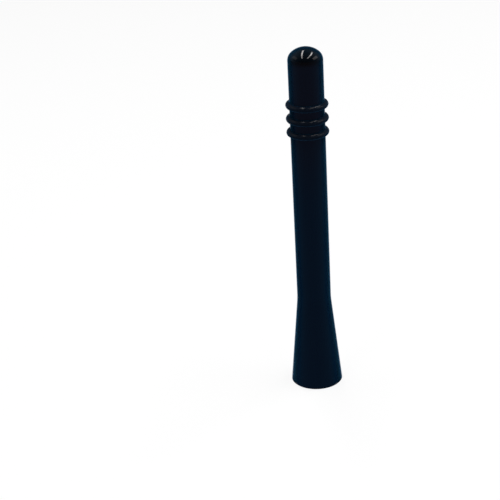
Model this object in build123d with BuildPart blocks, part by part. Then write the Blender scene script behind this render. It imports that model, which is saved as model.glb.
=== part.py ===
"""Short screw-on mast aerial for a car.

One solid aluminium rod, turned to a domed tip and a flared foot. Three rubber rings sit in
square grooves below the tip. A blind tapped hole in the foot takes the stud of the car's
aerial base. The origin is the centre of the foot's flat face, with +Z up the mast.
"""

import os
from math import acos, degrees, radians, sqrt, tan

from build123d import *

# Sizes of the mast, in millimetres
mast_length = 101.6
shaft_diameter = 9.8
dome_edge_radius = 3.0  # the small arc that turns the shaft's side into the tip
dome_flattening = 1.1  # how much larger the tip's arc is than the shaft's radius

# Sizes of the flared foot
foot_diameter = 15.0
flare_length = 26.6  # from the flat face up to where the cone meets the shaft
flare_blend_radius = 30.0
foot_rim_chamfer = 0.2

# Sizes of the rubber rings and their grooves
ring_width = 1.78
ring_reach = 1.03  # how far each ring stands out of the shaft
ring_groove_depth = 0.77
ring_groove_clearance = 0.02  # between a ring and its groove, at the floor and at each wall
groove_lip_chamfer = 0.1
upper_ring_drop = 16.15  # from the tip down to the middle of the upper ring
ring_pitch = 3.95

# Sizes of the tapped hole
thread_diameter = 6.0
thread_pitch = 1.0
thread_depth = 12.0
tap_runout = 3.0  # plain drilled length past the end of the thread
drill_point_angle = 118.0
hole_mouth_chamfer = 0.4

# What follows from those sizes
shaft_radius = shaft_diameter / 2
foot_radius = foot_diameter / 2

# The tip is two tangent arcs: an edge arc centred inside the shaft's side, and a flatter
# arc centred on the axis. The line through both centres is where they meet.
dome_radius = shaft_radius + dome_flattening
edge_centre_radius = shaft_radius - dome_edge_radius
centre_distance = dome_radius - dome_edge_radius
centre_rise = sqrt(centre_distance**2 - edge_centre_radius**2)
edge_sweep = degrees(acos(edge_centre_radius / centre_distance))
shaft_top = mast_length - dome_radius + centre_rise
dome_centre_height = mast_length - dome_radius

# Each ring has a half-round crown outside and a flat back, one clearance above the floor of
# its groove
groove_floor_radius = shaft_radius - ring_groove_depth
groove_width = ring_width + 2 * ring_groove_clearance
ring_back_radius = groove_floor_radius + ring_groove_clearance
crown_radius = ring_width / 2
crown_base_radius = shaft_radius + ring_reach - crown_radius
upper_ring_height = mast_length - upper_ring_drop
ring_heights = {
    "ring_upper": upper_ring_height,
    "ring_middle": upper_ring_height - ring_pitch,
    "ring_lower": upper_ring_height - 2 * ring_pitch,
}
groove_floors = [(groove_floor_radius, height) for height in ring_heights.values()]

# The hole's wall stands at the thread's outer diameter, and its end at the tapping drill's
thread_radius = thread_diameter / 2
drill_radius = (thread_diameter - thread_pitch) / 2
drill_depth = thread_depth + tap_runout
drill_point_length = drill_radius / tan(radians(drill_point_angle / 2))

os.makedirs("parts", exist_ok=True)

# Mast: half of its section, turned about the axis, then drilled and tapped from below
with BuildPart() as mast:
    with BuildSketch(Plane.XZ) as half_section:
        with BuildLine() as outline:
            side = Polyline(
                (0, 0),
                (foot_radius, 0),
                (shaft_radius, flare_length),
                (shaft_radius, shaft_top),
            )
            edge_arc = CenterArc((edge_centre_radius, shaft_top), dome_edge_radius, 0, edge_sweep)
            dome_arc = CenterArc((0, dome_centre_height), dome_radius, edge_sweep, 90 - edge_sweep)
            Line(dome_arc @ 1, side @ 0)
        make_face()
        with Locations(*groove_floors):
            Rectangle(
                ring_groove_depth,
                groove_width,
                align=(Align.MIN, Align.CENTER),
                mode=Mode.SUBTRACT,
            )

        # The grooves' lips are broken so that they don't cut the rubber. The lowest edge
        # that runs along X is the foot's flat face, and the others are the grooves' walls.
        groove_walls = half_section.edges().filter_by(Axis.X).sort_by(Axis.Y)[1:]
        groove_lips = [wall.vertices().sort_by(Axis.X)[-1] for wall in groove_walls]
        chamfer(groove_lips, groove_lip_chamfer)
        flare_top = half_section.vertices().sort_by_distance((shaft_radius, flare_length))[0]
        fillet(flare_top, flare_blend_radius)
        foot_rim = half_section.vertices().sort_by_distance((foot_radius, 0))[0]
        chamfer(foot_rim, foot_rim_chamfer)
    revolve(axis=Axis.Z)

    with Locations(Plane(origin=(0, 0, 0), z_dir=(0, 0, -1))):
        Hole(drill_radius, depth=drill_depth)
        CounterSinkHole(
            thread_radius,
            thread_radius + hole_mouth_chamfer,
            depth=thread_depth,
            counter_sink_angle=90,
        )
    with Locations((0, 0, drill_depth)):
        Cone(
            drill_radius,
            0,
            drill_point_length,
            align=(Align.CENTER, Align.CENTER, Align.MIN),
            mode=Mode.SUBTRACT,
        )
mast.part.label = "mast"
export_step(mast.part, "parts/mast.step")

# Rubber rings, each a section turned about the axis in its own groove
for ring_name, ring_height in ring_heights.items():
    with BuildPart() as ring:
        with BuildSketch(Plane.XZ) as ring_section:
            with BuildLine() as ring_outline:
                crown = CenterArc((crown_base_radius, ring_height), crown_radius, -90, 180)
                Polyline(
                    crown @ 1,
                    (ring_back_radius, ring_height + crown_radius),
                    (ring_back_radius, ring_height - crown_radius),
                    crown @ 0,
                )
            make_face()
        revolve(axis=Axis.Z)
    ring.part.label = ring_name
    export_step(ring.part, f"parts/{ring_name}.step")
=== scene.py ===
from math import acos, atan, cos, degrees, pi, radians, sin, sqrt, tan

import bmesh
import bpy
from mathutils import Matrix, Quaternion, Vector


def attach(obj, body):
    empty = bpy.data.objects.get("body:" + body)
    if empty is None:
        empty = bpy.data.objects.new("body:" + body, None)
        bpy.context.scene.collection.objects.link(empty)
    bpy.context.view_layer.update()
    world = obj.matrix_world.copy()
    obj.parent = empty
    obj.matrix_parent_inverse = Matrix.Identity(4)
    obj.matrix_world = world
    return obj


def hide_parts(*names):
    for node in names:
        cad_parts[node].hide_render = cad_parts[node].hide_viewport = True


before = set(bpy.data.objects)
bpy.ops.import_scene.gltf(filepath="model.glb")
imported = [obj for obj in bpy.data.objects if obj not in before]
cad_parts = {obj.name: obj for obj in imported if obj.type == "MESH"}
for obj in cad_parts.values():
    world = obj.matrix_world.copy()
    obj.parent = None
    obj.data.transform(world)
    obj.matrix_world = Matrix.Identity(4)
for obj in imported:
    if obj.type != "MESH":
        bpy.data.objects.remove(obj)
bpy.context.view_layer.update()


# Mast: one solid aluminium rod, turned to a domed tip, a straight shaft and a flared foot,
# with three square grooves for the rings. It is anodised a bluish black and polished at the
# tip. The foot is drilled and tapped last, so the hole's metal is bare. Sizes in millimetres.
MM = 0.001
mast_length = 101.6
shaft_radius = 4.9
tip_edge_radius = 3.0
tip_radius = 6.0
tip_steps = 20
foot_radius = 7.5
foot_rim = 0.2
flare_length = 26.6
flare_blend = 30.0
flare_blend_steps = 12
ring_heights = {"upper": 85.45, "middle": 81.5, "lower": 77.55}
groove_half_width = 0.91
groove_floor = 4.13
groove_lip = 0.1
thread_radius = 3.0
thread_depth = 12.0
drill_radius = 2.5
drill_depth = 15.0
drill_point_angle = 118
hole_mouth = 0.4
mast_segments = 192
crisp_angle = 28


def arc(centre, radius, start, end, steps):
    """Points of a round corner in an outline, from one angle to another in degrees."""
    turns = [radians(start + (end - start) * i / steps) for i in range(steps + 1)]
    return [(centre[0] + radius * cos(a), centre[1] + radius * sin(a)) for a in turns]


def turned(name, outline, segments, closed=False):
    """A piece turned about the Z axis from an outline of (radius, height) in millimetres."""
    shape = bmesh.new()
    angles = [2 * pi * i / segments for i in range(segments)]
    rows = []
    for radius, height in outline:
        if radius == 0:
            rows.append([shape.verts.new((0, 0, height * MM))] * segments)
        else:
            rows.append([
                shape.verts.new((radius * MM * cos(a), radius * MM * sin(a), height * MM))
                for a in angles
            ])
    for low, high in zip(rows, rows[1:] + rows[:1] if closed else rows[1:]):
        for i in range(segments):
            j = (i + 1) % segments
            corners = dict.fromkeys((low[i], low[j], high[j], high[i]))
            shape.faces.new(list(corners))
    return finished(name, shape)


def finished(name, shape):
    """Makes an object of a bmesh, smooth but for its real edges."""
    bmesh.ops.recalc_face_normals(shape, faces=shape.faces)
    mesh = bpy.data.meshes.new(name)
    shape.to_mesh(mesh)
    shape.free()
    mesh.shade_smooth()
    mesh.set_sharp_from_angle(angle=radians(crisp_angle))
    piece = bpy.data.objects.new(name, mesh)
    bpy.context.scene.collection.objects.link(piece)
    return piece


drill_tip = drill_depth + drill_radius / tan(radians(drill_point_angle / 2))
hole = [
    (0, drill_tip),
    (drill_radius, drill_depth),
    (drill_radius, thread_depth),
    (thread_radius, thread_depth),
    (thread_radius, hole_mouth),
    (thread_radius + hole_mouth, 0),
]
flare_tilt = atan((foot_radius - shaft_radius) / flare_length)
foot = [
    (foot_radius - foot_rim, 0),
    (foot_radius - foot_rim * sin(flare_tilt), foot_rim * cos(flare_tilt)),
]
blend_centre = (shaft_radius + flare_blend, flare_length + flare_blend * tan(flare_tilt / 2))
blend = arc(blend_centre, flare_blend, 180 + degrees(flare_tilt), 180, flare_blend_steps)
groove = [
    (shaft_radius, -groove_half_width - groove_lip),
    (shaft_radius - groove_lip, -groove_half_width),
    (groove_floor, -groove_half_width),
    (groove_floor, groove_half_width),
    (shaft_radius - groove_lip, groove_half_width),
    (shaft_radius, groove_half_width + groove_lip),
]
grooves = [(r, middle + z) for middle in sorted(ring_heights.values()) for r, z in groove]
tip_centre = mast_length - tip_radius
edge_centre = shaft_radius - tip_edge_radius
centre_distance = tip_radius - tip_edge_radius
edge_height = tip_centre + sqrt(centre_distance**2 - edge_centre**2)
edge_sweep = degrees(acos(edge_centre / centre_distance))
tip = arc((edge_centre, edge_height), tip_edge_radius, 0, edge_sweep, tip_steps)
tip += arc((0, tip_centre), tip_radius, edge_sweep, 90, tip_steps)[1:-1] + [(0, mast_length)]

mast = turned("mast_turned", hole + foot + blend + grooves + tip, mast_segments)


class Signal:
    """A value or colour that runs through a material's nodes, so that its maths reads as Python."""

    def __init__(self, tree, socket=None):
        self.tree = tree
        self.socket = socket

    def node(self, kind, settings=None, sockets=None, out=0):
        """Adds a node of a kind, with its settings, then its sockets' values or links."""
        node = self.tree.nodes.new("ShaderNode" + kind)
        for key, value in (settings or {}).items():
            if key == "stops":
                stops = node.color_ramp.elements
                while len(stops) < len(value):
                    stops.new(1.0)
                for stop, (place, grey) in zip(stops, value):
                    stop.position, stop.color = place, (grey, grey, grey, 1)
            else:
                setattr(node, key, value)
        for key, value in (sockets or {}).items():
            if isinstance(value, Signal):
                self.tree.links.new(value.socket, node.inputs[key])
            else:
                node.inputs[key].default_value = value
        return Signal(self.tree, node.outputs[out])

    def math(self, operation, first, second):
        """A Math node of two values."""
        return self.node("Math", {"operation": operation}, {0: first, 1: second})

    def __add__(self, other):
        return self.math("ADD", self, other)

    def __radd__(self, other):
        return self.math("ADD", other, self)

    def __sub__(self, other):
        return self.math("SUBTRACT", self, other)

    def __rsub__(self, other):
        return self.math("SUBTRACT", other, self)

    def __mul__(self, other):
        return self.math("MULTIPLY", self, other)

    def __rmul__(self, other):
        return self.math("MULTIPLY", other, self)

    def __mod__(self, other):
        return self.math("MODULO", self, other)

    def __rmod__(self, other):
        return self.math("MODULO", other, self)

    def __pow__(self, other):
        return self.math("POWER", self, other)

    def __rpow__(self, other):
        return self.math("POWER", other, self)

    def __lt__(self, other):
        return self.math("LESS_THAN", self, other)

    def __gt__(self, other):
        return self.math("GREATER_THAN", self, other)

    def rise(self, low, high):
        """Goes smoothly from 0 to 1 while this value goes from low to high."""
        return self.node(
            "MapRange",
            {"interpolation_type": "SMOOTHSTEP"},
            {"Value": self, "From Min": low, "From Max": high},
        )

    def mix(self, first, second):
        """A colour that goes from the first to the second while this value goes from 0 to 1."""
        return self.node("Mix", {"data_type": "RGBA"}, {0: self, 6: first, 7: second}, out=2)

    def parts(self):
        """The X, Y and Z of a place or direction."""
        split = self.node("SeparateXYZ", sockets={"Vector": self}).socket.node
        return [Signal(self.tree, output) for output in split.outputs]

    def to(self, shader, name):
        """Links this value or colour to a socket of a shader."""
        self.tree.links.new(self.socket, shader.inputs[name])


def new_finish(name):
    """A new material: the material, a start for its nodes and its main shader."""
    finish = bpy.data.materials.new(name)
    finish.use_nodes = True
    return finish, Signal(finish.node_tree), finish.node_tree.nodes["Principled BSDF"]


# The dye turns less blue up the mast. A band just under the polished tip is painted darker, a
# painted shade for the dark room mirrored there.
low_dye = (0.0018, 0.0039, 0.0092, 1)
high_dye = (0.0031, 0.0032, 0.0062, 1)
# painted shade: a darker colour for the band under the tip, where the dark room is mirrored
painted_shade_colour = (0.0026, 0.0014, 0.0010, 1)
polished_black = (0.0205, 0.0197, 0.0192, 1)
bare_metal = (0.58, 0.58, 0.56, 1)
dye_turns_from, dye_turns_to = 54, 84
painted_shade_starts, painted_shade_ends = 96.8, 98.3
polish_starts, polish_ends = 98.4, 99.8
bare_radius = thread_radius + hole_mouth
bare_height = drill_tip + 0.5  # just past the drill's point

anodised, nodes, shader = new_finish("anodised_black")
shader.inputs["Metallic"].default_value = 1.0
shader.inputs["Specular Tint"].default_value = (0.33, 0.35, 0.38, 1)
shader.inputs["Sheen Weight"].default_value = 0.20
shader.inputs["Sheen Roughness"].default_value = 0.46
shader.inputs["Sheen Tint"].default_value = (0.08, 0.44, 0.90, 1)
place = nodes.node("TexCoord", out="Object")
across_x, across_y, height = place.parts()
radius = (across_x * across_x + across_y * across_y) ** 0.5
lathe_marks = nodes.node(
    "TexNoise",
    {"noise_dimensions": "1D"},
    {"W": height - radius, "Scale": 5200.0, "Detail": 2.0},
)
clouds = nodes.node(
    "TexNoise", sockets={"Vector": place, "Scale": 90.0, "Detail": 3.0, "Roughness": 0.6}
)
polish = height.rise(polish_starts * MM, polish_ends * MM)
bare = (radius < bare_radius * MM) * (height < bare_height * MM)
dye_and_painted_shade = height.rise(dye_turns_from * MM, dye_turns_to * MM).mix(low_dye, high_dye)
# Just under the tip the colour goes to the painted shade colour, a painted dark reflection.
dye_and_painted_shade = height.rise(painted_shade_starts * MM, painted_shade_ends * MM).mix(dye_and_painted_shade, painted_shade_colour)
bare.mix(polish.mix(dye_and_painted_shade, polished_black), bare_metal).to(shader, "Base Color")
roughness = 0.10 + 0.05 * lathe_marks + 0.05 * clouds - 0.08 * polish + 0.2 * bare
roughness.to(shader, "Roughness")
nodes.node(
    "Bump", sockets={"Strength": 0.10, "Distance": 2e-6, "Height": lathe_marks}
).to(shader, "Normal")
mast.data.materials.append(anodised)

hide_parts("mast")
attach(mast, "root")


# Thread: the ridge of the tapped hole, right-hand, 1 mm a turn, cut in the bare metal of
# the foot. It fades out at the mouth's chamfer and at the end of the tap's run.
thread_pitch = 1.0
thread_crest = 2.46
thread_crest_half = 0.125
thread_root_half = 0.4375
thread_root_depth = 0.08
thread_first = hole_mouth + 0.5
thread_last = thread_depth - 0.6
fade_turns = 0.5
steps_a_turn = 72

shape = bmesh.new()
rows = []
steps = int((thread_last - thread_first) / thread_pitch * steps_a_turn)
fade_steps = fade_turns * steps_a_turn
for i in range(steps + 1):
    angle = 2 * pi * i / steps_a_turn
    middle = thread_first + thread_pitch * i / steps_a_turn
    fade = min(1.0, (i + 0.5) / fade_steps, (steps - i + 0.5) / fade_steps)
    crest = thread_radius - (thread_radius - thread_crest) * fade
    section = [
        (thread_radius + thread_root_depth, -thread_root_half),
        (thread_radius, -thread_root_half * fade),
        (crest, -thread_crest_half * fade),
        (crest, thread_crest_half * fade),
        (thread_radius, thread_root_half * fade),
        (thread_radius + thread_root_depth, thread_root_half),
    ]
    rows.append([
        shape.verts.new((r * MM * cos(angle), r * MM * sin(angle), (middle + z) * MM))
        for r, z in section
    ])
for low, high in zip(rows, rows[1:]):
    for i in range(len(low)):
        j = (i + 1) % len(low)
        shape.faces.new((low[i], low[j], high[j], high[i]))
shape.faces.new(rows[0])
shape.faces.new(rows[-1])
thread = finished("stud_thread", shape)

dull_metal = (0.50, 0.50, 0.48, 1)
bright_metal = (0.66, 0.66, 0.64, 1)
cut_metal, nodes, shader = new_finish("cut_aluminium")
shader.inputs["Metallic"].default_value = 1.0
place = nodes.node("TexCoord", out="Object")
scratches = nodes.node("TexNoise", sockets={"Vector": place, "Scale": 1500.0, "Detail": 2.0})
scratches.mix(dull_metal, bright_metal).to(shader, "Base Color")
(0.22 + 0.15 * scratches).to(shader, "Roughness")
thread.data.materials.append(cut_metal)

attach(thread, "root")


# Rings: three rings of black rubber, moulded with a flat back, a half-round crown and a thin
# flash line round it, stretched over the tip and let go in their grooves. The upper half of
# each crown is rubbed shiny.
ring_half_width = 0.89
crown_base = 5.04
crown_steps = 22
ring_back = 4.15
flash_height = 0.02
flash_half = 0.05
ring_segments = 160
ring_pitch = ring_heights["middle"] - ring_heights["lower"]
below_rings = ring_heights["lower"] - ring_pitch / 2
rubbed_starts, rubbed_ends = 0.05, 0.40
rubbed_coat = 0.027
dark_rubber = (0.0024, 0.0040, 0.0086, 1)
pale_rubber = (0.0034, 0.0052, 0.0098, 1)

rubber, nodes, shader = new_finish("ring_rubber")
shader.inputs["Specular IOR Level"].default_value = 0.0
shader.inputs["Sheen Weight"].default_value = 0.18
shader.inputs["Sheen Roughness"].default_value = 0.40
shader.inputs["Sheen Tint"].default_value = (0.06, 0.42, 0.90, 1)
shader.inputs["Coat Roughness"].default_value = 0.18
shader.inputs["Coat IOR"].default_value = 4.0
place = nodes.node("TexCoord", out="Object")
height = place.parts()[2]
lift = (height - below_rings * MM) % (ring_pitch * MM)
rubbed = lift.rise((ring_pitch / 2 + rubbed_starts) * MM, (ring_pitch / 2 + rubbed_ends) * MM)
grain = nodes.node("TexNoise", sockets={"Vector": place, "Scale": 6000.0, "Detail": 2.0})
bloom = nodes.node("TexNoise", sockets={"Vector": place, "Scale": 350.0, "Detail": 3.0})
bloom.mix(dark_rubber, pale_rubber).to(shader, "Base Color")
(0.24 + 0.06 * bloom + 0.05 * grain).to(shader, "Roughness")
(rubbed_coat * rubbed).to(shader, "Coat Weight")
nodes.node(
    "Bump", sockets={"Strength": 0.1, "Distance": 4e-6, "Height": grain}
).to(shader, "Normal")

flash_turn = degrees(flash_half / ring_half_width)
for name, ring_height in ring_heights.items():
    middle = (crown_base, ring_height)
    outline = arc(middle, ring_half_width, -90, -flash_turn, crown_steps)
    outline.append((crown_base + ring_half_width + flash_height, ring_height))
    outline += arc(middle, ring_half_width, flash_turn, 90, crown_steps)
    outline.append((ring_back, ring_height + ring_half_width))
    outline.append((ring_back, ring_height - ring_half_width))
    ring = turned("ring_" + name + "_rubber", outline, ring_segments, closed=True)
    ring.data.materials.append(rubber)
    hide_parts("ring_" + name)
    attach(ring, "root")


# Floor: a plain white sheet that the mast stands on. What looks straight at it, or sees it
# mirrored, mostly finds plain white, with a faint shadow left in it. Sizes in metres.
floor_half = 6.0
floor_gap = 0.00005
floor_white = (0.92, 0.92, 0.92, 1)
plain_white_share = 0.85
floor_mesh = bpy.data.meshes.new("floor")
floor_mesh.from_pydata(
    [(x * floor_half, y * floor_half, -floor_gap) for x, y in ((-1, -1), (1, -1), (1, 1), (-1, 1))],
    [],
    [(0, 1, 2, 3)],
)
floor = bpy.data.objects.new("floor", floor_mesh)
bpy.context.scene.collection.objects.link(floor)

white_sheet, nodes, shader = new_finish("white_sheet")
shader.inputs["Base Color"].default_value = floor_white
shader.inputs["Roughness"].default_value = 1.0
shader.inputs["Specular IOR Level"].default_value = 0.0
seen = nodes.node("LightPath", out="Is Camera Ray")
seen = seen + nodes.node("LightPath", out="Is Glossy Ray")
seen = seen + nodes.node("LightPath", out="Is Transmission Ray")
sheet = Signal(nodes.tree, shader.outputs[0])
white = nodes.node("Emission", sockets={"Color": (1, 1, 1, 1), "Strength": 1.0})
nodes.node("MixShader", sockets={0: plain_white_share * seen, 1: sheet, 2: white}).to(
    white_sheet.node_tree.nodes["Material Output"], "Surface"
)
floor.data.materials.append(white_sheet)


# Studio: white walls that darken towards a grey ceiling, the front one sooner than the back
# one. Two strip lamps hang over the mast, each brighter in its rear half, and a soft panel
# stands at each side, turned to the tip. Sizes in metres.
back_wall_greys = ((0.10, 1.0), (0.25, 0.5), (0.75, 0.38), (0.95, 0.12))
front_wall_greys = ((0.05, 1.0), (0.25, 0.14), (0.60, 0.08), (0.95, 0.10))
front_ends, back_starts = -0.5, 0.3
room = bpy.data.worlds.new("room")
bpy.context.scene.world = room
room.use_nodes = True
nodes = Signal(room.node_tree)
to_back, to_ceiling = nodes.node("TexCoord", out="Generated").parts()[1:]
back_wall = nodes.node("ValToRGB", {"stops": back_wall_greys}, {"Fac": to_ceiling})
front_wall = nodes.node("ValToRGB", {"stops": front_wall_greys}, {"Fac": to_ceiling})
to_back.rise(front_ends, back_starts).mix(front_wall, back_wall).to(
    room.node_tree.nodes["Background"], "Color"
)


def add_lamp(name, spot, size, glow, facing):
    """A flat lamp of a size and glow, where a white sheet close to it would glow as much."""
    lamp = bpy.data.lights.new(name, "AREA")
    lamp.shape = "RECTANGLE"
    lamp.size, lamp.size_y = size
    lamp.energy = glow * pi * lamp.size * lamp.size_y
    holder = bpy.data.objects.new(name, lamp)
    holder.location = spot
    holder.rotation_mode = "QUATERNION"
    holder.rotation_quaternion = facing
    bpy.context.scene.collection.objects.link(holder)


strip_width = 0.055
strip_height = 0.70
strip_rear_glow = 25
strip_front_glow = 13.5
for name, (x, y), length, turn in (
    ("strip_left", (-0.142, -0.010), 0.83, -11),
    ("strip_right", (0.246, -0.077), 0.80, -10),
):
    facing = Quaternion((0, 0, 1), radians(turn))
    for end, side, glow in (("rear", 1, strip_rear_glow), ("front", -1, strip_front_glow)):
        spot = Vector((x, y, strip_height)) + facing @ Vector((0, side * length / 4, 0))
        add_lamp(name + "_" + end, spot, (strip_width, length / 2), glow, facing)

panel_size = (0.57, 0.28)
tip_spot = Vector((0, 0, mast_length * MM))
for name, spot, glow in (
    ("panel_left", Vector((-0.68, 0.00, 0.58)), 0.65),
    ("panel_right", Vector((0.71, -0.12, 0.55)), 2.5),
):
    add_lamp(name, spot, panel_size, glow, (tip_spot - spot).to_track_quat("-Z", "Y"))

bpy.context.scene.view_settings.view_transform = "Standard"


# Camera: in front of the mast and above its tip, looking down, with the mast right of the
# middle. A small roll leans the mast as it leans in the photograph. Sizes in metres.
camera_spot = Vector((0, -0.36409, 0.20379))
camera_aim = Vector((-0.01789, 0, 0.042355))
camera_roll = -3.3004
camera = bpy.data.objects.new("camera", bpy.data.cameras.new("camera"))
camera.data.lens = 99.88
camera.data.sensor_width = 36
camera.data.clip_start = 0.01
camera.location = camera_spot
camera.rotation_mode = "QUATERNION"
look = (camera_aim - camera_spot).to_track_quat("-Z", "Y")
camera.rotation_quaternion = look @ Quaternion((0, 0, 1), radians(camera_roll))
bpy.context.scene.collection.objects.link(camera)
bpy.context.scene.camera = camera
